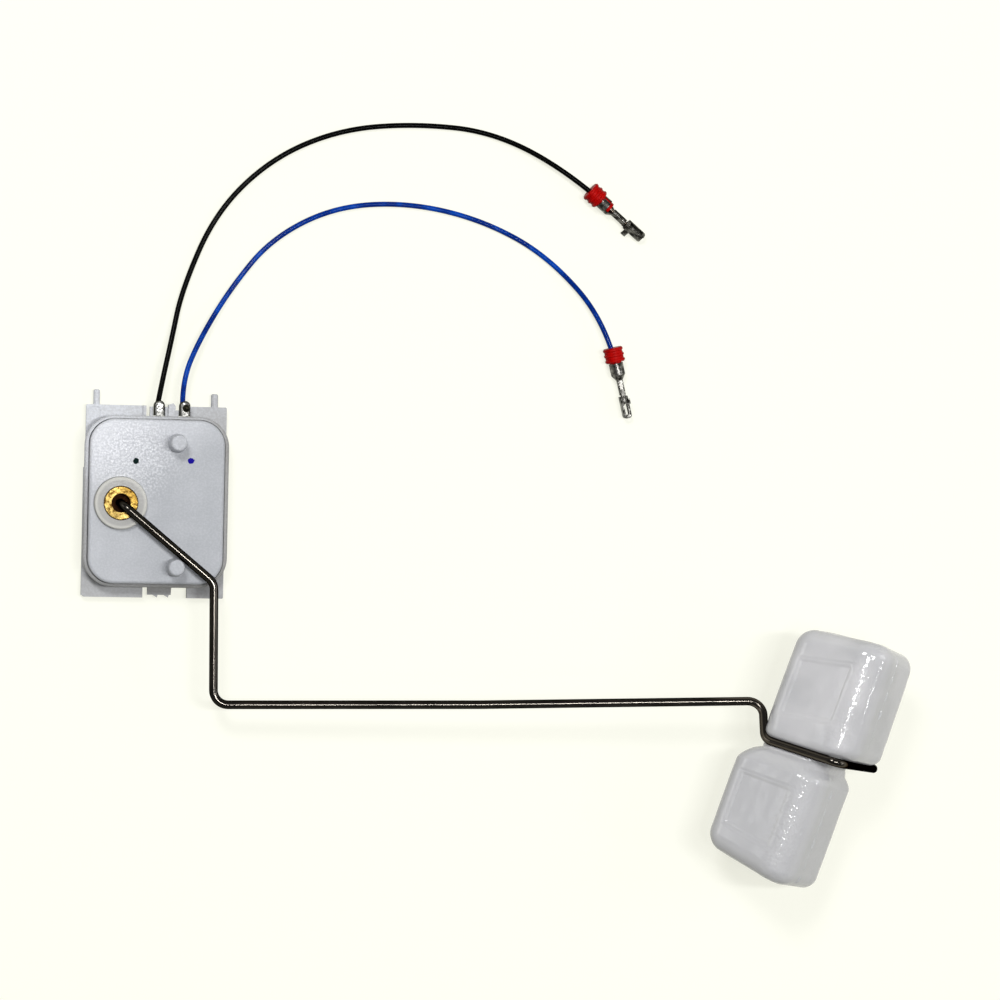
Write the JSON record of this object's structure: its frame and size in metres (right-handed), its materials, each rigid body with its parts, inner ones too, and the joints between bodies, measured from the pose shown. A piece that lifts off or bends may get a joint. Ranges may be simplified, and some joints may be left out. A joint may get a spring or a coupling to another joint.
{
  "type": "fuel level sender",
  "caption": "Fuel tank level sender: sealed plastic housing with a swinging wire arm, a lobed plastic float and leads that end in sealed crimp contacts.",
  "frame": {"origin": "on the pivot axis, in the flat mounting face at the back of the housing", "axes": "+X from the pivot towards the float, +Y towards the edge where the leads leave, +Z along the pivot axis away from the mounting face; the part lies on its mounting face and on the float, with the arm on its lower stop"},
  "size_m": [0.2272, 0.2099, 0.0402],
  "materials": {
    "housing_plastic": "natural translucent plastic",
    "cover_plastic": "natural translucent plastic, fine grain",
    "rotor_plastic": "natural translucent plastic",
    "magnet": "sintered",
    "brass": "turned",
    "arm_steel": "drawn wire",
    "float_plastic": "glossy white",
    "ceramic": "fired",
    "tinned_steel": "tinned",
    "spacer_film": "film",
    "spring_alloy": "rolled foil",
    "tinned_terminal": "tinned",
    "black_insulation": "satin",
    "blue_insulation": "satin",
    "strands": "bare strands",
    "seal_rubber": "silicone",
    "contact_metal": "tinned"
  },
  "bodies": {
    "housing": {"base_housing": "housing_plastic", "cover": "cover_plastic", "ceramic_plate": "ceramic", "sensor_can": "tinned_steel", "comb_spacer": "spacer_film", "contact_comb": "spring_alloy", "terminal_black": "tinned_terminal", "terminal_blue": "tinned_terminal", "lead_black": "black_insulation", "lead_blue": "blue_insulation", "strands_black": "strands", "strands_blue": "strands", "seal_black": "seal_rubber", "seal_blue": "seal_rubber", "contact_black": "contact_metal", "contact_blue": "contact_metal"},
    "arm": {"rotor": "rotor_plastic", "magnet": "magnet", "brass_bush": "brass", "float_arm": "arm_steel", "float": "float_plastic"}
  },
  "joints": [
    {"name": "arm_pivot", "type": "hinge", "parent": "housing", "child": "arm", "pos_m": [0, 0, 0.0128], "axis": [0, 0, 1], "range_deg": [0, 77.7]}
  ]
}
